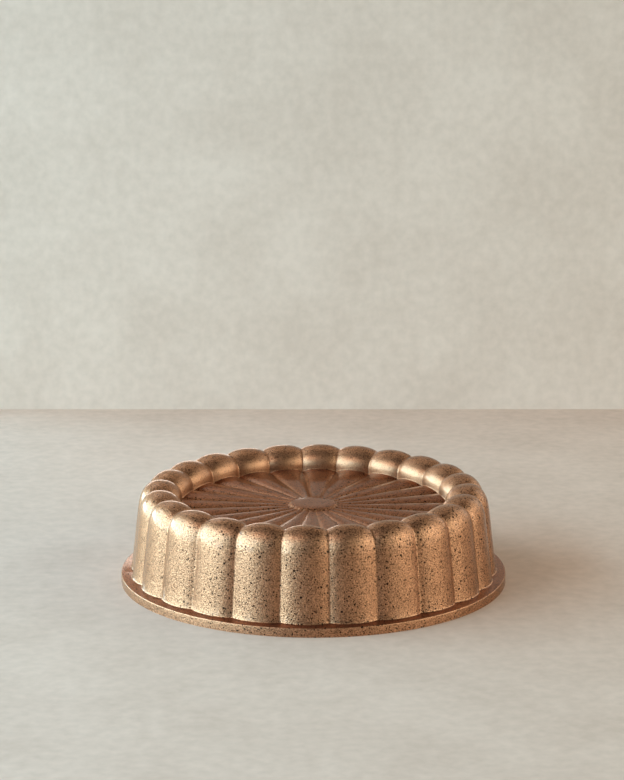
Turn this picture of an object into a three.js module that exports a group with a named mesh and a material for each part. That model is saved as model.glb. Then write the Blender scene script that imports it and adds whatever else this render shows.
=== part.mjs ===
// A fluted cake pan of cast aluminium, turned over and standing on its rim.
// Millimetres, +Z up. The origin is the centre of the rim's flat face, and a flute's valley lies towards -Y.
import * as THREE from 'three';

// Rim: the flat ring that the turned-over pan stands on.
const RIM_DIAMETER = 280;
const RIM_THICKNESS = 6.5;
const RIM_OVERHANG = 7; // rim standing out past the foot of the flutes
const RIM_BEVEL = 0.8; // worn upper edge of the rim

// Wall: upright round flutes that lean in as they rise, so that the casting leaves its mould.
const FLUTES = 24;
const FLUTE_RELIEF = 3.6; // crest of a flute above the valleys beside it
const FLUTE_ARC = 128; // degrees of arc across one flute
const WALL_DRAFT = 6.9; // degrees
const WALL_THICKNESS = 3.5;

// Crown: each flute turns over it, deeply outside and less so inside.
const HEIGHT = 70.4;
const CROWN_OUTER_WIDTH = 11.8; // wall's shoulder in to the ridge
const CROWN_OUTER_DROP = 15.6; // ridge down to the wall's shoulder
const CROWN_INNER_WIDTH = 13; // ridge in to the dish's wall

// Dish: sunk inside the crown, with a fan of petals that falls away outwards from a plain raised hub.
const DISH_DEPTH = 18.3; // crest of the crown down to the outer ends of the grooves between petals
const DISH_SWELL = 1.8; // middle of the dish's floor above the outer ends of its grooves
const DISH_WALL = 0.8; // upright stretch between the petals and the crown
const PETAL_RISE = 3.6; // petal's back above its grooves, at the dish's wall
const HUB_DIAMETER = 34;
const HUB_RISE = 1.8; // hub's top above the middle of the dish's floor

// Baked-on coats.
const OUTER_COAT = 0.05;
const INNER_COAT = 0.04;

// Facets.
const FLUTE_STEPS = 4;
const CROWN_OUTER_STEPS = 4;
const CROWN_INNER_STEPS = 3;

const COLUMNS = FLUTES * FLUTE_STEPS;
const QUARTER_TURN = Math.PI / 2;

// Sizes of the bare outside in a flute's valley, worked out from the sizes above.
const rimRadius = RIM_DIAMETER / 2;
const draftSlope = Math.tan(THREE.MathUtils.degToRad(WALL_DRAFT));
const wallFootRadius = rimRadius - RIM_OVERHANG - FLUTE_RELIEF;
const ridgeHeight = HEIGHT - FLUTE_RELIEF;
const shoulderHeight = ridgeHeight - CROWN_OUTER_DROP;
const ridgeRadius = wallFootRadius - (shoulderHeight - RIM_THICKNESS) * draftSlope - CROWN_OUTER_WIDTH;
const dishRadius = ridgeRadius - CROWN_INNER_WIDTH;
const grooveHeight = HEIGHT - DISH_DEPTH;
const hubHeight = grooveHeight + DISH_SWELL + HUB_RISE;
const dishShoulderHeight = grooveHeight + PETAL_RISE + DISH_WALL;
const crownInnerDrop = ridgeHeight - dishShoulderHeight;

// Height of a flute's round section at a column: 0 in the valleys, 1 on the crest.
function fluteWeight(column) {
  const halfArc = THREE.MathUtils.degToRad(FLUTE_ARC / 2);
  const across = (2 * (column % FLUTE_STEPS)) / FLUTE_STEPS - 1;
  const rise = Math.sqrt(1 - (Math.sin(halfArc) * across) ** 2);
  return (rise - Math.cos(halfArc)) / (1 - Math.cos(halfArc));
}

// Radius of the wall at a height. swell is how far the face lies outside the bare valley.
function wallRadius(height, swell) {
  return wallFootRadius + (RIM_THICKNESS - height) * draftSlope + swell;
}

// Radial cut from the wall's shoulder over the crown and down the dish to the middle of the hub, as
// [radius, height] pairs, for a face that lies at a depth below the outside.
function crownAndDish(weight, depth) {
  const swell = FLUTE_RELIEF * weight - depth;
  const cut = [];
  for (let step = 0; step <= CROWN_OUTER_STEPS; step += 1) {
    const turn = (QUARTER_TURN * step) / CROWN_OUTER_STEPS;
    cut.push([
      ridgeRadius + (CROWN_OUTER_WIDTH + swell) * Math.cos(turn),
      shoulderHeight + (CROWN_OUTER_DROP + swell) * Math.sin(turn),
    ]);
  }
  for (let step = 1; step <= CROWN_INNER_STEPS; step += 1) {
    const turn = (QUARTER_TURN * step) / CROWN_INNER_STEPS;
    cut.push([
      ridgeRadius - (CROWN_INNER_WIDTH + swell) * Math.sin(turn),
      dishShoulderHeight + (crownInnerDrop + swell) * Math.cos(turn),
    ]);
  }
  const petalSlope = (PETAL_RISE * weight - DISH_SWELL) / dishRadius;
  const petalHeight = (radius) => grooveHeight + DISH_SWELL + petalSlope * radius - depth;
  const dishFootRadius = dishRadius - swell;
  const hubRadius = HUB_DIAMETER / 2 - depth;
  cut.push([dishFootRadius, petalHeight(dishFootRadius)]);
  cut.push([hubRadius, petalHeight(hubRadius)]);
  cut.push([hubRadius, hubHeight - depth]);
  cut.push([0, hubHeight - depth]);
  return cut;
}

// Outside of the pan: up the rim's edge, in along its top, up the wall and over.
function outsideCut(weight, depth) {
  const swell = FLUTE_RELIEF * weight - depth;
  const rimTop = RIM_THICKNESS - depth;
  return [
    [rimRadius - depth, 0],
    [rimRadius - depth, RIM_THICKNESS - RIM_BEVEL],
    [rimRadius - RIM_BEVEL, rimTop],
    [wallRadius(rimTop, swell), rimTop],
    ...crownAndDish(weight, depth),
  ];
}

// Inside of the pan: straight up the wall from the rim's flat face, and over.
function insideCut(weight, depth) {
  const swell = FLUTE_RELIEF * weight - depth;
  return [[wallRadius(0, swell), 0], ...crownAndDish(weight, depth)];
}

// Turns a radial cut round the axis, following the flutes. Gives rings of points, the last one at the hub's middle.
function ringsOf(cutAt, depth) {
  const rings = cutAt(0, depth).map(() => []);
  for (let column = 0; column < COLUMNS; column += 1) {
    const angle = (2 * Math.PI * column) / COLUMNS;
    cutAt(fluteWeight(column), depth).forEach(([radius, height], row) => {
      rings[row].push([radius * Math.sin(angle), -radius * Math.cos(angle), height]);
    });
  }
  return rings;
}

// Closed layer between two faces that both run from the rim's flat face to the hub's middle.
function layer(outerRings, innerRings) {
  const positions = [];
  const triangles = [];

  function addRing(ring) {
    const first = positions.length / 3;
    positions.push(...ring.flat());
    return first;
  }

  // Triangles between two rings. Both sides of a shared face are split the same way, so that they fit exactly.
  function addStrip(lower, upper, facesIn, endsAtMiddle) {
    for (let column = 0; column < COLUMNS; column += 1) {
      const next = (column + 1) % COLUMNS;
      const corners = [[lower + column, lower + next, upper + next]];
      if (!endsAtMiddle) {
        corners.push([lower + column, upper + next, upper + column]);
      }
      corners.forEach(([a, b, c]) => triangles.push(...(facesIn ? [a, c, b] : [a, b, c])));
    }
  }

  function addFace(rings, facesIn) {
    const starts = rings.map(addRing);
    for (let row = 0; row + 1 < starts.length; row += 1) {
      addStrip(starts[row], starts[row + 1], facesIn, row + 2 === starts.length);
    }
    return starts[0];
  }

  const outerFoot = addFace(outerRings, false);
  const innerFoot = addFace(innerRings, true);
  addStrip(innerFoot, outerFoot, false, false);

  const geometry = new THREE.BufferGeometry();
  geometry.setAttribute('position', new THREE.Float32BufferAttribute(positions, 3));
  geometry.setIndex(triangles);
  geometry.computeVertexNormals();
  return geometry;
}

const outsideRings = ringsOf(outsideCut, 0);
const castOutsideRings = ringsOf(outsideCut, OUTER_COAT);
const castInsideRings = ringsOf(insideCut, OUTER_COAT + WALL_THICKNESS);
const insideRings = ringsOf(insideCut, OUTER_COAT + WALL_THICKNESS + INNER_COAT);

const pan = new THREE.Group();

function addPiece(name, geometry, look) {
  const piece = new THREE.Mesh(geometry, new THREE.MeshStandardMaterial(look));
  piece.name = name;
  pan.add(piece);
}

// Casting: rim, flutes, crown, dish and hub poured as one, with its rim ground flat and left bare.
addPiece('cast_body', layer(castOutsideRings, castInsideRings), {
  color: 0xb4b5b4,
  metalness: 1,
  roughness: 0.45,
});

// Bronze coat with dark specks, baked onto the outside.
addPiece('outer_coating', layer(outsideRings, castOutsideRings), {
  color: 0x9a6a45,
  metalness: 0.75,
  roughness: 0.42,
});

// Non-stick coat, baked onto the side that the cake lies against.
addPiece('inner_coating', layer(castInsideRings, insideRings), {
  color: 0x84593b,
  metalness: 0.6,
  roughness: 0.38,
});

export default pan;
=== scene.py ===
import math

import bpy
from mathutils import Matrix, Vector


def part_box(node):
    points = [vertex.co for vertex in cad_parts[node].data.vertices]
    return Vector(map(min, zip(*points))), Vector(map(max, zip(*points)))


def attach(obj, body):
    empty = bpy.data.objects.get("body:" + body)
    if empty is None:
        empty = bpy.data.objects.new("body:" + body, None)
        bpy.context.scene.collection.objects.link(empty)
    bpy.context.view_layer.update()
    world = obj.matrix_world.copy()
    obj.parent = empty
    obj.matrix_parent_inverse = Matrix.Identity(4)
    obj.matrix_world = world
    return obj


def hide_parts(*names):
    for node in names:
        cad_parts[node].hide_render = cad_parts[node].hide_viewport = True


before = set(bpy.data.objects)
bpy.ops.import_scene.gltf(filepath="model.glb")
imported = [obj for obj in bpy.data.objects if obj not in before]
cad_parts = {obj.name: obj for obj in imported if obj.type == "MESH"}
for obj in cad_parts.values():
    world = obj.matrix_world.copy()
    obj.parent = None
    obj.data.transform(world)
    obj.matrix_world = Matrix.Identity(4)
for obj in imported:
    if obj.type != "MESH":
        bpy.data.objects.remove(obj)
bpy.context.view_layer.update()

scene = bpy.context.scene
scene.view_settings.view_transform = "Standard"


# Casting
# The whole pan is one aluminium casting: rim, fluted wall, crown, petalled dish and hub leave the
# mould together. Only the face that the pan stands on is ground flat and left bare, and the rest
# lies under the two coats.

MM = 0.001
_, OUTSIDE_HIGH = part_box("outer_coating")

RIM_RADIUS = OUTSIDE_HIGH.x
RIM_THICKNESS = 6.5 * MM
RIM_OVERHANG = 7 * MM
RIM_ROUND = 0.8 * MM
RIM_DRAFT = math.radians(1.5)
FOOT_FILLET = 1.2 * MM
LIP_ROUND = 0.6 * MM

FLUTES = 24
FLUTE_RELIEF = 3.6 * MM
FLUTE_HALF_ARC = math.radians(64)
VALLEY_SHARE = 0.07  # half-width of a valley's fillet, as a share of half a flute
WALL_SLOPE = math.tan(math.radians(6.9))
WALL_THICKNESS = 3.5 * MM

HEIGHT = OUTSIDE_HIGH.z
CROWN_OUTER_WIDTH = 11.8 * MM
CROWN_OUTER_DROP = 15.6 * MM
CROWN_INNER_WIDTH = 13 * MM
CROWN_OUTER_FULLNESS = 2.15  # 2 is an ellipse, more is squarer
CROWN_INNER_FULLNESS = 2.15
DISH_DEPTH = 18.3 * MM  # crest of the crown down to the outer ends of the grooves
DISH_SWELL = 1.8 * MM  # middle of the dish above the outer ends of its grooves
DISH_WALL = 0.8 * MM
DISH_FILLET = 0.5 * MM
PETAL_RISE = 3.6 * MM
PETAL_ROUNDNESS = 0.8  # 1 is as round as a flute, less is flatter
HUB_RADIUS = 17 * MM
HUB_RISE = 1.8 * MM
HUB_SLOPE = 3.6 * MM  # width of the soft slope round the hub

OUTER_COAT = 0.05 * MM
BARE_INSIDE = OUTER_COAT + WALL_THICKNESS  # depth of the casting's inside below the coat's face

WALL_FOOT_RADIUS = RIM_RADIUS - RIM_OVERHANG - FLUTE_RELIEF
RIDGE_HEIGHT = HEIGHT - FLUTE_RELIEF
SHOULDER_HEIGHT = RIDGE_HEIGHT - CROWN_OUTER_DROP
RIDGE_RADIUS = WALL_FOOT_RADIUS - (SHOULDER_HEIGHT - RIM_THICKNESS) * WALL_SLOPE - CROWN_OUTER_WIDTH
DISH_RADIUS = RIDGE_RADIUS - CROWN_INNER_WIDTH
GROOVE_HEIGHT = HEIGHT - DISH_DEPTH
HUB_HEIGHT = GROOVE_HEIGHT + DISH_SWELL + HUB_RISE
DISH_SHOULDER_HEIGHT = GROOVE_HEIGHT + PETAL_RISE + DISH_WALL
CROWN_INNER_DROP = RIDGE_HEIGHT - DISH_SHOULDER_HEIGHT

CREST_STEPS = 12
VALLEY_STEPS = 2
ROUND_STEPS = 5
WALL_STEPS = 4
CROWN_OUTER_STEPS = 14
CROWN_INNER_STEPS = 14
PETAL_STEPS = 4
HUB_STEPS = 6
SHARP_TURN = math.radians(40)  # an edge that turns more than this is left sharp


def flute_columns():
    """(angle round the pan, height of the flute's round section) of each column, all the way round."""
    half_arc, low = FLUTE_HALF_ARC, math.cos(FLUTE_HALF_ARC)
    edge = 1 - VALLEY_SHARE
    edge_turn = math.asin(math.sin(half_arc) * edge)

    def section(across):
        """Height of a flute's section, 0 at its edges and 1 on its crest."""
        return (math.sqrt(1 - (math.sin(half_arc) * across) ** 2) - low) / (1 - low)

    edge_slope = math.sin(half_arc) ** 2 * edge / (math.cos(edge_turn) * (1 - low))
    across_and_weight = []
    for step in range(-VALLEY_STEPS, 0):
        from_valley = VALLEY_SHARE * (VALLEY_STEPS + step) / VALLEY_STEPS
        rise = edge_slope * (from_valley ** 2 - VALLEY_SHARE ** 2) / (2 * VALLEY_SHARE)
        across_and_weight.append((from_valley - 1, section(edge) + rise))
    for step in range(CREST_STEPS + 1):
        across = math.sin(edge_turn * (2 * step / CREST_STEPS - 1)) / math.sin(half_arc)
        across_and_weight.append((across, section(across)))
    for across, weight in across_and_weight[VALLEY_STEPS - 1:0:-1]:
        across_and_weight.append((-across, weight))

    flute_angle = 2 * math.pi / FLUTES
    return [
        (flute_angle * (flute + (across + 1) / 2), weight)
        for flute in range(FLUTES)
        for across, weight in across_and_weight
    ]


def arc(centre, radius, start, end):
    """Points of a round corner in a radial cut, as (radius, height) pairs.

    The angles are in degrees: 0 points outward and 90 up.
    """
    turns = [math.radians(start + (end - start) * step / ROUND_STEPS) for step in range(ROUND_STEPS + 1)]
    return [(centre[0] + radius * math.cos(turn), centre[1] + radius * math.sin(turn)) for turn in turns]


def wall_radius(height, swell):
    """Radius of the wall at a height, where swell is how far the flute stands out."""
    return WALL_FOOT_RADIUS + (RIM_THICKNESS - height) * WALL_SLOPE + swell


def wall_crown_and_dish(foot_height, weight, depth):
    """Radial cut from the wall's foot over the crown and down the dish to the hub's middle."""
    swell = FLUTE_RELIEF * weight - depth
    cut = []
    for step in range(WALL_STEPS):
        height = foot_height + (SHOULDER_HEIGHT - foot_height) * step / WALL_STEPS
        cut.append((wall_radius(height, swell), height))

    def quarter(share, fullness):
        """Point of a quarter turn of the crown, from (1, 0) to (0, 1)."""
        turn = math.pi / 2 * share
        return [max(part, 0) ** (2 / fullness) for part in (math.cos(turn), math.sin(turn))]

    # The crown leaves the wall along the wall's own slope and comes level at the ridge.
    width, drop = CROWN_OUTER_WIDTH + swell, CROWN_OUTER_DROP + swell
    for step in range(CROWN_OUTER_STEPS):
        outward, upward = quarter(step / CROWN_OUTER_STEPS, CROWN_OUTER_FULLNESS)
        lean = WALL_SLOPE * drop * upward * (1 - upward) ** 2
        cut.append((RIDGE_RADIUS + width * outward - lean, SHOULDER_HEIGHT + drop * upward))
    width, drop = CROWN_INNER_WIDTH + swell, CROWN_INNER_DROP + swell
    for step in range(CROWN_INNER_STEPS + 1):
        upward, inward = quarter(step / CROWN_INNER_STEPS, CROWN_INNER_FULLNESS)
        cut.append((RIDGE_RADIUS - width * inward, DISH_SHOULDER_HEIGHT + drop * upward))

    petal_slope = (PETAL_RISE * weight ** PETAL_ROUNDNESS - DISH_SWELL) / DISH_RADIUS
    petal_tilt = math.degrees(math.atan(petal_slope))

    def petal_height(radius):
        """Height of the dish's floor at a radius."""
        return GROOVE_HEIGHT + DISH_SWELL + petal_slope * radius - depth

    foot_centre_radius = DISH_RADIUS - swell - DISH_FILLET
    foot_centre_height = petal_height(foot_centre_radius) + DISH_FILLET * math.hypot(1, petal_slope)
    cut += arc((foot_centre_radius, foot_centre_height), DISH_FILLET, 0, petal_tilt - 90)

    hub_radius, hub_height = HUB_RADIUS - depth, HUB_HEIGHT - depth
    hub_foot_radius = hub_radius + HUB_SLOPE / 2
    for step in range(1, PETAL_STEPS):
        radius = cut[-1][0] + (hub_foot_radius - cut[-1][0]) / (PETAL_STEPS + 1 - step)
        cut.append((radius, petal_height(radius)))
    for step in range(HUB_STEPS + 1):
        share = step / HUB_STEPS
        climb = share * share * (3 - 2 * share)
        radius = hub_foot_radius - HUB_SLOPE * share
        cut.append((radius, petal_height(radius) * (1 - climb) + hub_height * climb))
    cut.append((hub_radius / 2, hub_height))
    cut.append((0, hub_height))
    return cut


def outside_cut(weight, depth):
    """Up the rim's edge, in along its top, round the fillet at the flutes' foot, up the wall and over."""
    swell = FLUTE_RELIEF * weight - depth
    edge, top = RIM_RADIUS - depth, RIM_THICKNESS - depth
    lean = math.atan(WALL_SLOPE)
    foot_centre_height = top + FOOT_FILLET
    foot_centre_radius = wall_radius(foot_centre_height, swell) + FOOT_FILLET / math.cos(lean)
    round_height = top - RIM_ROUND
    round_radius = edge - round_height * math.tan(RIM_DRAFT) - RIM_ROUND / math.cos(RIM_DRAFT)
    cut = [(edge, 0)]
    cut += arc((round_radius, round_height), RIM_ROUND, math.degrees(RIM_DRAFT), 90)
    fillet = arc((foot_centre_radius, foot_centre_height), FOOT_FILLET, 270, 180 + math.degrees(lean))
    return cut + fillet[:-1] + wall_crown_and_dish(fillet[-1][1], weight, depth)


def inside_cut(weight, depth):
    """Round the lip from the rim's flat face, straight up the wall, and over."""
    swell = FLUTE_RELIEF * weight - depth
    lip = arc((wall_radius(LIP_ROUND, swell) + LIP_ROUND, LIP_ROUND), LIP_ROUND, 270, 180)
    return lip[:-1] + wall_crown_and_dish(LIP_ROUND, weight, depth)


def layer(name, outer, inner):
    """Closed mesh between two faces, each given as its radial cut and its depth below the outside."""
    columns = flute_columns()
    points, faces = [], []

    def add_face(cut_at, depth, faces_in):
        """Adds one face from its foot to the hub's middle, and gives back the start of its first ring."""
        cuts = [cut_at(weight, depth) for _, weight in columns]
        rings = []
        for row in range(len(cuts[0]) - 1):
            rings.append(len(points))
            for (angle, _), cut in zip(columns, cuts):
                radius, height = cut[row]
                points.append((radius * math.sin(angle), -radius * math.cos(angle), height))
        for lower, upper in zip(rings, rings[1:]):
            add_strip(lower, upper, faces_in)
        middle = len(points)
        points.append((0, 0, cuts[0][-1][1]))
        for column in range(len(columns)):
            here, beyond = rings[-1] + column, rings[-1] + (column + 1) % len(columns)
            faces.append((here, middle, beyond) if faces_in else (here, beyond, middle))
        return rings[0]

    def add_strip(lower, upper, faces_in):
        """Joins two rings of points, each given by its start."""
        for column in range(len(columns)):
            beyond = (column + 1) % len(columns)
            corners = (lower + column, lower + beyond, upper + beyond, upper + column)
            faces.append(corners[::-1] if faces_in else corners)

    outer_foot = add_face(*outer, faces_in=False)
    inner_foot = add_face(*inner, faces_in=True)
    add_strip(inner_foot, outer_foot, faces_in=False)

    mesh = bpy.data.meshes.new(name)
    mesh.from_pydata(points, [], faces)
    mesh.shade_smooth()
    mesh.set_sharp_from_angle(angle=SHARP_TURN)
    piece = bpy.data.objects.new(name, mesh)
    scene.collection.objects.link(piece)
    return piece


def material_of(name):
    """New node material, its nodes and a short way to link two sockets."""
    material = bpy.data.materials.new(name)
    material.use_nodes = True
    tree = material.node_tree
    return material, tree.nodes, tree.links.new


def linear(red, green, blue):
    """Colour as a shader reads it, from the 0 to 255 values that a screen shows."""
    def channel(value):
        share = value / 255
        return share / 12.92 if share <= 0.04045 else ((share + 0.055) / 1.055) ** 2.4
    return (channel(red), channel(green), channel(blue), 1)


def ranged(nodes, start, end, low=0, high=1):
    """Node that turns values from start to end into values from low to high, and stops at both."""
    node = nodes.new("ShaderNodeMapRange")
    for name, value in (("From Min", start), ("From Max", end), ("To Min", low), ("To Max", high)):
        node.inputs[name].default_value = value
    return node


GRINDING_RING = 0.25 * MM
GRINDING_DEPTH = 0.02 * MM
GRINDING_TONES = (linear(168, 168, 166), linear(205, 205, 203))
GRINDING_ROUGHNESS = (0.28, 0.5)


def ground_aluminium():
    """Bare aluminium with the fine rings that the grinding of the rim's face leaves."""
    material, nodes, link = material_of("ground_aluminium")
    shader = nodes["Principled BSDF"]
    shader.inputs["Metallic"].default_value = 1

    place = nodes.new("ShaderNodeTexCoord")
    split = nodes.new("ShaderNodeSeparateXYZ")
    flat = nodes.new("ShaderNodeCombineXYZ")
    length = nodes.new("ShaderNodeVectorMath")
    length.operation = "LENGTH"
    rings = nodes.new("ShaderNodeTexNoise")
    rings.noise_dimensions = "1D"
    rings.inputs["Scale"].default_value = 1 / GRINDING_RING
    rings.inputs["Detail"].default_value = 3
    link(place.outputs["Object"], split.inputs[0])
    link(split.outputs["X"], flat.inputs["X"])
    link(split.outputs["Y"], flat.inputs["Y"])
    link(flat.outputs[0], length.inputs[0])
    link(length.outputs["Value"], rings.inputs["W"])

    tone = nodes.new("ShaderNodeMix")
    tone.data_type = "RGBA"
    tone.inputs["A"].default_value = GRINDING_TONES[0]
    tone.inputs["B"].default_value = GRINDING_TONES[1]
    link(rings.outputs["Fac"], tone.inputs["Factor"])
    link(tone.outputs["Result"], shader.inputs["Base Color"])

    gloss = ranged(nodes, 0, 1, *GRINDING_ROUGHNESS)
    link(rings.outputs["Fac"], gloss.inputs["Value"])
    link(gloss.outputs["Result"], shader.inputs["Roughness"])

    bump = nodes.new("ShaderNodeBump")
    bump.inputs["Strength"].default_value = 0.5
    bump.inputs["Distance"].default_value = GRINDING_DEPTH
    link(rings.outputs["Fac"], bump.inputs["Height"])
    link(bump.outputs["Normal"], shader.inputs["Normal"])
    return material


casting = layer("pan_casting", (outside_cut, OUTER_COAT), (inside_cut, BARE_INSIDE))
casting.data.materials.append(ground_aluminium())
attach(casting, "root")
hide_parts("cast_body")


# Outer coat
# A satin bronze coat with dark specks of all sizes, sprayed on the outside of the casting from the rim's
# edge to the hub and baked. The specks are faded on faces turned to the key lamps, as a painted
# highlight, and level faces on the rim's top and in the dish are darkened as painted shade.

SMALLEST_SPECK = 0.45  # radius of a layer's smallest speck, as a share of its largest
SPECK_FEATHER = 0.25  # soft edge of a speck, to each side, as a share of its radius
SPECK_RAGGEDNESS = 0.12  # how far its outline strays, as a share of the spacing
SPECK_RIPPLES = 4  # ripples of its outline in one spacing
SPECK_LACQUER = 0.2  # lacquer on a speck, as a share of that on the bronze
AWAY_FROM_KEY_LAMPS = (0.87, -0.5, 0)  # direction away from the key lamps, where the specks show in full
CLOUD_WIDTH = 9 * MM
FLAKE_WIDTH = 0.9 * MM
NOISE_SPAN = (0.3, 0.7)  # values between which nearly all of the noise lies
FLAKE_SPAN = (0.35, 0.65)  # narrower, so that the flakes stand out
ROUGHNESS_SPREAD = 0.05
THIN_SPRAY = 0.35  # coat on a face turned to the pan's axis, as a share of that on the wall
TURNED_IN = (-0.9, -0.2)  # how far a face looks outward, from thin spray to full
KEY_SIDE_SPECKS = 0.32  # strength of the specks on a face turned to the key lamps, faded there as a painted highlight
TURNED_TO_KEY = (-0.7, 0)  # how far a face looks away from the key lamps, from the faintest specks to all
LEVEL_FACE = (0.75, 0.97)  # how far a face looks up, from no painted shade to all
RIM_LEVEL = 0.2  # heights between which the painted shade tones change, as shares of the pan's
DISH_LEVELS = (0.6, 0.84)
CREST_LEVEL = 0.92
UNSHADED = (1, 1, 1, 1)  # leaves the bronze as it is


def effect_group(name, inputs, outputs):
    """New shader node group with number sockets of these names, and its two end nodes."""
    group = bpy.data.node_groups.new(name, "ShaderNodeTree")
    for socket_name in inputs:
        group.interface.new_socket(socket_name, in_out="INPUT", socket_type="NodeSocketFloat")
    for socket_name in outputs:
        group.interface.new_socket(socket_name, in_out="OUTPUT", socket_type="NodeSocketFloat")
    return group, group.nodes.new("NodeGroupInput"), group.nodes.new("NodeGroupOutput")


def dark_specks():
    """Node group: round specks of mixed sizes, as a mask. Spacing is in metres, Size a share of it."""
    group, given, result = effect_group("dark_specks", ("Spacing", "Size", "Raggedness"), ("Mask",))
    nodes, link = group.nodes, group.links.new

    place = nodes.new("ShaderNodeTexCoord")
    per_metre = nodes.new("ShaderNodeMath")
    per_metre.operation = "DIVIDE"
    per_metre.inputs[0].default_value = 1
    spread = nodes.new("ShaderNodeVectorMath")
    spread.operation = "SCALE"
    link(given.outputs["Spacing"], per_metre.inputs[1])
    link(place.outputs["Object"], spread.inputs["Vector"])
    link(per_metre.outputs[0], spread.inputs["Scale"])

    ragged = nodes.new("ShaderNodeTexNoise")
    ragged.inputs["Scale"].default_value = SPECK_RIPPLES
    ragged.inputs["Detail"].default_value = 1
    push = nodes.new("ShaderNodeVectorMath")
    push.operation = "SCALE"
    moved = nodes.new("ShaderNodeVectorMath")
    link(spread.outputs["Vector"], ragged.inputs["Vector"])
    link(ragged.outputs["Color"], push.inputs["Vector"])
    link(given.outputs["Raggedness"], push.inputs["Scale"])
    link(spread.outputs["Vector"], moved.inputs[0])
    link(push.outputs["Vector"], moved.inputs[1])

    drops = nodes.new("ShaderNodeTexVoronoi")
    drops.inputs["Scale"].default_value = 1
    own = nodes.new("ShaderNodeSeparateColor")
    share = ranged(nodes, 0, 1, low=SMALLEST_SPECK)
    radius = nodes.new("ShaderNodeMath")
    radius.operation = "MULTIPLY"
    link(moved.outputs["Vector"], drops.inputs["Vector"])
    link(drops.outputs["Color"], own.inputs["Color"])
    link(own.outputs["Red"], share.inputs["Value"])
    link(share.outputs["Result"], radius.inputs[0])
    link(given.outputs["Size"], radius.inputs[1])

    mask = nodes.new("ShaderNodeMapRange")
    for end, radii in (("From Min", 1 + SPECK_FEATHER), ("From Max", 1 - SPECK_FEATHER)):
        edge = nodes.new("ShaderNodeMath")
        edge.operation = "MULTIPLY"
        edge.inputs[1].default_value = radii
        link(radius.outputs[0], edge.inputs[0])
        link(edge.outputs[0], mask.inputs[end])
    link(drops.outputs["Distance"], mask.inputs["Value"])
    link(mask.outputs["Result"], result.inputs["Mask"])
    return group


def sprayed_grain():
    """Node group: soft clouds and fine grain, each from 0 to 1. The inputs are their widths in metres."""
    group, given, result = effect_group("sprayed_grain", ("Cloud", "Grain"), ("Cloud", "Grain"))
    nodes, link = group.nodes, group.links.new
    place = nodes.new("ShaderNodeTexCoord")
    for name, detail in (("Cloud", 3), ("Grain", 2)):
        per_metre = nodes.new("ShaderNodeMath")
        per_metre.operation = "DIVIDE"
        per_metre.inputs[0].default_value = 1
        noise = nodes.new("ShaderNodeTexNoise")
        noise.inputs["Detail"].default_value = detail
        link(given.outputs[name], per_metre.inputs[1])
        link(place.outputs["Object"], noise.inputs["Vector"])
        link(per_metre.outputs[0], noise.inputs["Scale"])
        link(noise.outputs["Fac"], result.inputs[name])
    return group


specks_group = dark_specks()
grain_group = sprayed_grain()


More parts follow.
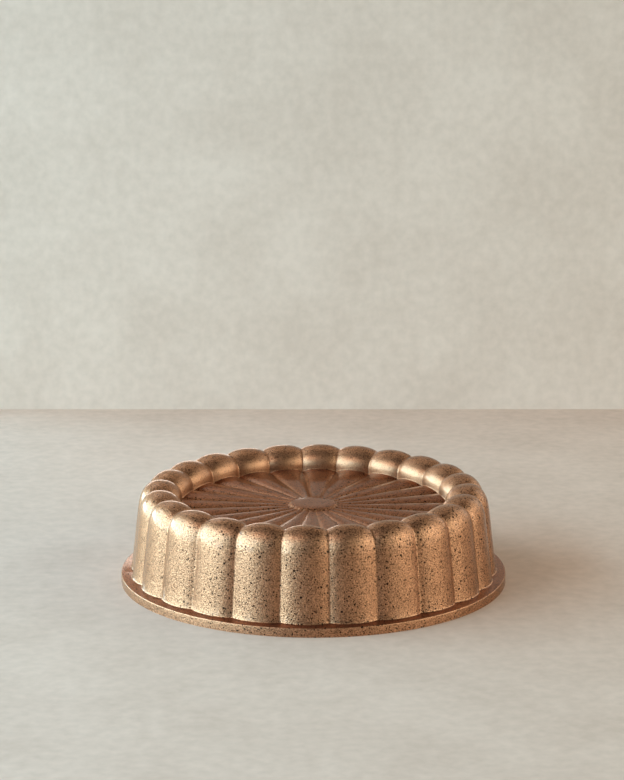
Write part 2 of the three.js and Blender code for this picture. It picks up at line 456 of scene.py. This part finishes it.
def speckled_coat(
    name, tones, painted_shade_tones, speck_colour, specks, roughness, lacquer, flake_tone, flake_depth
):
    """Metallic coat: a cloudy base between two tones, flake grain, and layers of specks.

    A layer of specks is its spacing, the size of a speck as a share of that, and its strength.
    """
    material, nodes, link = material_of(name)
    shader = nodes["Principled BSDF"]
    grain = nodes.new("ShaderNodeGroup")
    grain.node_tree = grain_group
    grain.inputs["Cloud"].default_value = CLOUD_WIDTH
    grain.inputs["Grain"].default_value = FLAKE_WIDTH

    cloud = ranged(nodes, *NOISE_SPAN)
    base = nodes.new("ShaderNodeMix")
    base.data_type = "RGBA"
    base.inputs["A"].default_value = tones[0]
    base.inputs["B"].default_value = tones[1]
    link(grain.outputs["Cloud"], cloud.inputs["Value"])
    link(cloud.outputs["Result"], base.inputs["Factor"])

    flakes = ranged(nodes, *FLAKE_SPAN, 1 - flake_tone, 1 + flake_tone)
    flaked = nodes.new("ShaderNodeVectorMath")
    flaked.operation = "SCALE"
    link(grain.outputs["Grain"], flakes.inputs["Value"])
    link(base.outputs["Result"], flaked.inputs["Vector"])

    # Faces turned to the pan's axis catch less of the spray, so the coat lies thin and smooth there.
    place = nodes.new("ShaderNodeTexCoord")
    level_place = nodes.new("ShaderNodeVectorMath")
    level_place.operation = "MULTIPLY"
    level_place.inputs[1].default_value = (1, 1, 0)
    outward = nodes.new("ShaderNodeVectorMath")
    outward.operation = "NORMALIZE"
    turned_out = nodes.new("ShaderNodeVectorMath")
    turned_out.operation = "DOT_PRODUCT"
    thick = ranged(nodes, *TURNED_IN, low=THIN_SPRAY)
    flake_share = nodes.new("ShaderNodeMix")
    flake_share.inputs["A"].default_value = 1
    link(place.outputs["Object"], level_place.inputs[0])
    link(level_place.outputs[0], outward.inputs[0])
    link(outward.outputs[0], turned_out.inputs[0])
    link(place.outputs["Normal"], turned_out.inputs[1])
    link(turned_out.outputs["Value"], thick.inputs["Value"])
    link(thick.outputs["Result"], flake_share.inputs["Factor"])
    link(flakes.outputs["Result"], flake_share.inputs["B"])
    link(flake_share.outputs["Result"], flaked.inputs["Scale"])

    # Painted shade: level faces on the rim's top and in the dish, which the walls shade, are darker; the
    # crests are not.
    facing = nodes.new("ShaderNodeSeparateXYZ")
    where = nodes.new("ShaderNodeSeparateXYZ")
    level = ranged(nodes, *LEVEL_FACE)
    height = ranged(nodes, 0, HEIGHT)
    shade_ramp = nodes.new("ShaderNodeValToRGB")
    shade_ramp.color_ramp.elements[0].position = RIM_LEVEL
    shade_ramp.color_ramp.elements[0].color = painted_shade_tones[0]
    shade_ramp.color_ramp.elements[1].position = CREST_LEVEL
    shade_ramp.color_ramp.elements[1].color = UNSHADED
    for dish_level in DISH_LEVELS:
        shade_ramp.color_ramp.elements.new(dish_level).color = painted_shade_tones[1]
    shaded = nodes.new("ShaderNodeMix")
    shaded.data_type = "RGBA"
    shaded.blend_type = "MULTIPLY"
    link(place.outputs["Normal"], facing.inputs[0])
    link(place.outputs["Object"], where.inputs[0])
    link(facing.outputs["Z"], level.inputs["Value"])
    link(where.outputs["Z"], height.inputs["Value"])
    link(height.outputs["Result"], shade_ramp.inputs["Fac"])
    link(level.outputs["Result"], shaded.inputs["Factor"])
    link(flaked.outputs["Vector"], shaded.inputs["A"])
    link(shade_ramp.outputs["Color"], shaded.inputs["B"])

    # Painted highlight: the specks are faded on faces turned to the key lamps on the left.
    # They carry less of the lacquer than the bronze does.
    towards = nodes.new("ShaderNodeVectorMath")
    towards.operation = "DOT_PRODUCT"
    towards.inputs[1].default_value = AWAY_FROM_KEY_LAMPS
    highlight_fade = ranged(nodes, *TURNED_TO_KEY, low=KEY_SIDE_SPECKS)
    amount_there = nodes.new("ShaderNodeMath")
    amount_there.operation = "MULTIPLY"
    link(place.outputs["Normal"], towards.inputs[0])
    link(towards.outputs["Value"], highlight_fade.inputs["Value"])
    link(highlight_fade.outputs["Result"], amount_there.inputs[0])
    link(thick.outputs["Result"], amount_there.inputs[1])
    thickest = None
    for spacing, size, strength in specks:
        drops = nodes.new("ShaderNodeGroup")
        drops.node_tree = specks_group
        drops.inputs["Spacing"].default_value = spacing
        drops.inputs["Size"].default_value = size
        drops.inputs["Raggedness"].default_value = SPECK_RAGGEDNESS
        amount = nodes.new("ShaderNodeMath")
        amount.operation = "MULTIPLY"
        amount.inputs[1].default_value = strength
        link(drops.outputs["Mask"], amount.inputs[0])
        if thickest is None:
            thickest = amount
            continue
        either = nodes.new("ShaderNodeMath")
        either.operation = "MAXIMUM"
        link(thickest.outputs[0], either.inputs[0])
        link(amount.outputs[0], either.inputs[1])
        thickest = either
    shown = nodes.new("ShaderNodeMath")
    shown.operation = "MULTIPLY"
    speckled = nodes.new("ShaderNodeMix")
    speckled.data_type = "RGBA"
    speckled.inputs["B"].default_value = speck_colour
    glossy = ranged(nodes, 0, 1, lacquer, SPECK_LACQUER * lacquer)
    link(thickest.outputs[0], shown.inputs[0])
    link(amount_there.outputs[0], shown.inputs[1])
    link(shown.outputs[0], speckled.inputs["Factor"])
    link(shown.outputs[0], glossy.inputs["Value"])
    link(shaded.outputs["Result"], speckled.inputs["A"])
    link(speckled.outputs["Result"], shader.inputs["Base Color"])
    link(glossy.outputs["Result"], shader.inputs["Coat Weight"])

    rough = ranged(nodes, *NOISE_SPAN, roughness - ROUGHNESS_SPREAD, roughness + ROUGHNESS_SPREAD)
    link(grain.outputs["Grain"], rough.inputs["Value"])
    link(rough.outputs["Result"], shader.inputs["Roughness"])

    bump = nodes.new("ShaderNodeBump")
    bump.inputs["Strength"].default_value = 1
    bump.inputs["Distance"].default_value = flake_depth
    grain_height = nodes.new("ShaderNodeMath")
    grain_height.operation = "MULTIPLY"
    link(grain.outputs["Grain"], grain_height.inputs[0])
    link(thick.outputs["Result"], grain_height.inputs[1])
    link(grain_height.outputs[0], bump.inputs["Height"])
    link(bump.outputs["Normal"], shader.inputs["Normal"])
    return material, shader


bronze, bronze_shader = speckled_coat(
    "speckled_bronze",
    tones=(linear(175, 121, 87), linear(186, 130, 94)),
    painted_shade_tones=(linear(224, 198, 188), linear(224, 199, 190)),
    speck_colour=linear(30, 17, 12),
    specks=((0.9 * MM, 0.3, 0.6), (1.5 * MM, 0.3, 1), (2.3 * MM, 0.26, 1), (4.6 * MM, 0.19, 1)),
    roughness=0.42,
    lacquer=1,
    flake_tone=0.4,
    flake_depth=0.24 * MM,
)
bronze_shader.inputs["Metallic"].default_value = 0.95
bronze_shader.inputs["Specular IOR Level"].default_value = 0.9
bronze_shader.inputs["Specular Tint"].default_value = linear(192, 187, 178)
bronze_shader.inputs["Coat Roughness"].default_value = 0.12
bronze_shader.inputs["Coat IOR"].default_value = 1.15

outer_coat = layer("bronze_coat", (outside_cut, 0), (outside_cut, OUTER_COAT))
outer_coat.data.materials.append(bronze)
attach(outer_coat, "root")
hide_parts("outer_coating")


# Inner coat
# The non-stick coat on the side that the cake bakes against, sprayed from the rim's lip to the hub's
# recess and baked. It is the same bronze a little darker and smoother, with fewer and finer specks.

INNER_COAT = 0.04 * MM

nonstick, nonstick_shader = speckled_coat(
    "nonstick_bronze",
    tones=(linear(150, 108, 79), linear(162, 117, 86)),
    painted_shade_tones=(UNSHADED, UNSHADED),
    speck_colour=linear(38, 22, 16),
    specks=((1.1 * MM, 0.28, 0.6), (2.4 * MM, 0.2, 0.85)),
    roughness=0.36,
    lacquer=1,
    flake_tone=0.15,
    flake_depth=0.08 * MM,
)
nonstick_shader.inputs["Metallic"].default_value = 0.85
nonstick_shader.inputs["Specular Tint"].default_value = linear(190, 180, 170)
nonstick_shader.inputs["Coat Roughness"].default_value = 0.2
nonstick_shader.inputs["Coat IOR"].default_value = 1.25

inner_coat = layer("nonstick_coat", (inside_cut, BARE_INSIDE), (inside_cut, BARE_INSIDE + INNER_COAT))
inner_coat.data.materials.append(nonstick)
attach(inner_coat, "root")
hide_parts("inner_coating")


# Table and backdrop
# A plain pale table with a plain pale board standing behind it, square to the camera.
# Both are clear from behind, so that the pan shows from every side.

CAMERA_TURN = math.radians(-4.77)  # about the pan's axis, from straight in front of a valley
TABLE_REACH = 0.8
BACKDROP_DISTANCE = 0.522
BACKDROP_HALF_WIDTH = 0.38
BACKDROP_HEIGHT = 1.4
TABLE_TONE = (216, 183, 162)
BOARD_TONE = (217, 187, 166)
PLASTER_CONTRAST = 7  # levels of 255 that the clouds go up and down
PLASTER_CLOUD = 70 * MM
PLASTER_GRAIN = 9 * MM
PLASTER_SPAN = (0.7, 1.3)  # values between which clouds and grain together lie


def pale_plaster(name, shade):
    """Matt pale plaster with faint trowelled clouds, clear where its back is turned to the viewer."""
    material, nodes, link = material_of(name)
    shader = nodes["Principled BSDF"]
    shader.inputs["Roughness"].default_value = 0.85
    shader.inputs["Specular IOR Level"].default_value = 0.2
    grain = nodes.new("ShaderNodeGroup")
    grain.node_tree = grain_group
    grain.inputs["Cloud"].default_value = PLASTER_CLOUD
    grain.inputs["Grain"].default_value = PLASTER_GRAIN
    clouds = nodes.new("ShaderNodeMath")
    clouds.operation = "ADD"
    tone = ranged(nodes, *PLASTER_SPAN)
    plaster = nodes.new("ShaderNodeMix")
    plaster.data_type = "RGBA"
    plaster.inputs["A"].default_value = linear(*[value - PLASTER_CONTRAST for value in shade])
    plaster.inputs["B"].default_value = linear(*[value + PLASTER_CONTRAST for value in shade])
    link(grain.outputs["Cloud"], clouds.inputs[0])
    link(grain.outputs["Grain"], clouds.inputs[1])
    link(clouds.outputs[0], tone.inputs["Value"])
    link(tone.outputs["Result"], plaster.inputs["Factor"])
    link(plaster.outputs["Result"], shader.inputs["Base Color"])
    clear = nodes.new("ShaderNodeBsdfTransparent")
    side = nodes.new("ShaderNodeNewGeometry")
    seen = nodes.new("ShaderNodeMixShader")
    link(side.outputs["Backfacing"], seen.inputs["Fac"])
    link(shader.outputs[0], seen.inputs[1])
    link(clear.outputs[0], seen.inputs[2])
    link(seen.outputs[0], nodes["Material Output"].inputs["Surface"])
    return material


def flat_sheet(name, low, high, material):
    """Flat sheet between two opposite corners, with its first edge along X."""
    corners = [low, (high[0], low[1], low[2]), high, (low[0], high[1], high[2])]
    mesh = bpy.data.meshes.new(name)
    mesh.from_pydata(corners, [], [(0, 1, 2, 3)])
    mesh.materials.append(material)
    sheet = bpy.data.objects.new(name, mesh)
    scene.collection.objects.link(sheet)
    return sheet


flat_sheet(
    "table",
    (-TABLE_REACH, -TABLE_REACH, 0),
    (TABLE_REACH, TABLE_REACH, 0),
    pale_plaster("pale_table", TABLE_TONE),
)
backdrop = flat_sheet(
    "backdrop",
    (-BACKDROP_HALF_WIDTH, BACKDROP_DISTANCE, 0),
    (BACKDROP_HALF_WIDTH, BACKDROP_DISTANCE, BACKDROP_HEIGHT),
    pale_plaster("pale_board", BOARD_TONE),
)
backdrop.rotation_euler.z = CAMERA_TURN


# Light
# Soft studio panels: two broad ones on the left, two weaker ones on the right, one high at the front
# left, and two small ones behind, of which the low strip edges the crests. Dim cards in front and
# overhead, out of the camera's sight, leave the metal its dark bands.


def soft_panel(name, azimuth, elevation, distance, width, height, brightness, colour):
    """Soft panel that faces the pan from a direction in degrees. A brightness of 1 looks white."""
    lamp = bpy.data.lights.new(name, "AREA")
    lamp.shape = "RECTANGLE"
    lamp.size, lamp.size_y = width, height
    lamp.energy = brightness * width * height * math.pi
    lamp.color = colour
    panel = bpy.data.objects.new(name, lamp)
    turn, lift = math.radians(azimuth), math.radians(elevation)
    level = distance * math.cos(lift)
    panel.location = (level * math.sin(turn), -level * math.cos(turn), distance * math.sin(lift))
    panel.rotation_euler = (math.pi / 2 - lift, 0, turn)
    panel.visible_camera = False
    scene.collection.objects.link(panel)
    return panel


soft_panel(
    "low_key_panel", azimuth=-97, elevation=7.5, distance=1.9,
    width=4.6, height=0.5, brightness=13.6, colour=(0.39, 0.75, 1),
)
soft_panel(
    "high_key_panel", azimuth=-86, elevation=29, distance=1.9,
    width=3.7, height=0.78, brightness=8.1, colour=(0.43, 0.77, 1),
)
soft_panel(
    "front_panel", azimuth=-58, elevation=50, distance=1.6,
    width=1.3, height=0.6, brightness=2, colour=(1, 0.86, 0.75),
)
soft_panel(
    "low_fill_panel", azimuth=58, elevation=20, distance=1.6,
    width=1.6, height=1.25, brightness=2, colour=(0.84, 1, 0.93),
)
soft_panel(
    "high_fill_panel", azimuth=106, elevation=30, distance=1.6,
    width=2.2, height=1.3, brightness=1, colour=(0.84, 1, 0.98),
)
back = soft_panel(
    "back_panel", azimuth=-150, elevation=42, distance=0.6,
    width=0.3, height=0.22, brightness=1.1, colour=(0.9, 1, 1),
)
back.visible_diffuse = False
glint = soft_panel(
    "glint_strip", azimuth=-167, elevation=12.5, distance=0.46,
    width=0.26, height=0.05, brightness=4.2, colour=(1, 0.83, 0.7),
)
glint.visible_diffuse = False

ROOM_TONE = (0.043, 0.027, 0.018, 1)
CARD_REACH = 3
CARD_FRONT = -2.3
CARD_FOOT = -0.3
CARD_TOP = 2.2
PALE_ROOM = linear(202, 196, 184)

# Painted reflection: the cards glow faintly in the dark room's tone, so that the metal mirrors a dark
# room in front and above.
card_tone, card_nodes, card_link = material_of("dim_card")
card_nodes.remove(card_nodes["Principled BSDF"])
card_glow = card_nodes.new("ShaderNodeEmission")
card_glow.inputs["Color"].default_value = ROOM_TONE
card_link(card_glow.outputs[0], card_nodes["Material Output"].inputs["Surface"])
for name, low, high in (
    ("front_card", (-CARD_REACH, CARD_FRONT, CARD_FOOT), (CARD_REACH, CARD_FRONT, CARD_TOP)),
    ("overhead_card", (-CARD_REACH, CARD_FRONT, CARD_TOP), (CARD_REACH, -CARD_FRONT, CARD_TOP)),
):
    card = flat_sheet(name, low, high, card_tone)
    card.visible_camera = False

# The room looks pale to the camera and in reflections, and gives little light of its own.
room = bpy.data.worlds.new("room")
room.use_nodes = True
room_nodes, room_link = room.node_tree.nodes, room.node_tree.links.new
ray = room_nodes.new("ShaderNodeLightPath")
room_tone = room_nodes.new("ShaderNodeMix")
room_tone.data_type = "RGBA"
room_tone.inputs["A"].default_value = ROOM_TONE
room_tone.inputs["B"].default_value = PALE_ROOM
seen = ray.outputs["Is Camera Ray"]
for kind in ("Is Glossy Ray", "Is Transmission Ray"):
    either_ray = room_nodes.new("ShaderNodeMath")
    either_ray.operation = "MAXIMUM"
    room_link(seen, either_ray.inputs[0])
    room_link(ray.outputs[kind], either_ray.inputs[1])
    seen = either_ray.outputs[0]
room_link(seen, room_tone.inputs["Factor"])
room_link(room_tone.outputs["Result"], room_nodes["Background"].inputs["Color"])
scene.world = room


# Camera
# A long lens at the photograph's viewing angle, in front of the pan and a little above it.
# It looks past the pan's middle, so that the pan sits low in the frame.

CAMERA_DISTANCE = 1.84
CAMERA_ELEVATION = math.radians(17.3)
CAMERA_PITCH = math.radians(13.062)
CAMERA_ASIDE = -1.02 * MM
LENS_MM = 115.9
SENSOR_MM = 36

lens = bpy.data.cameras.new("camera")
lens.lens = LENS_MM
lens.sensor_width = SENSOR_MM
camera = bpy.data.objects.new("camera", lens)
stand = Vector((
    CAMERA_ASIDE,
    -CAMERA_DISTANCE * math.cos(CAMERA_ELEVATION),
    CAMERA_DISTANCE * math.sin(CAMERA_ELEVATION),
))
camera.location = Matrix.Rotation(CAMERA_TURN, 3, "Z") @ stand
camera.rotation_euler = (math.pi / 2 - CAMERA_PITCH, 0, CAMERA_TURN)
scene.collection.objects.link(camera)
scene.camera = camera
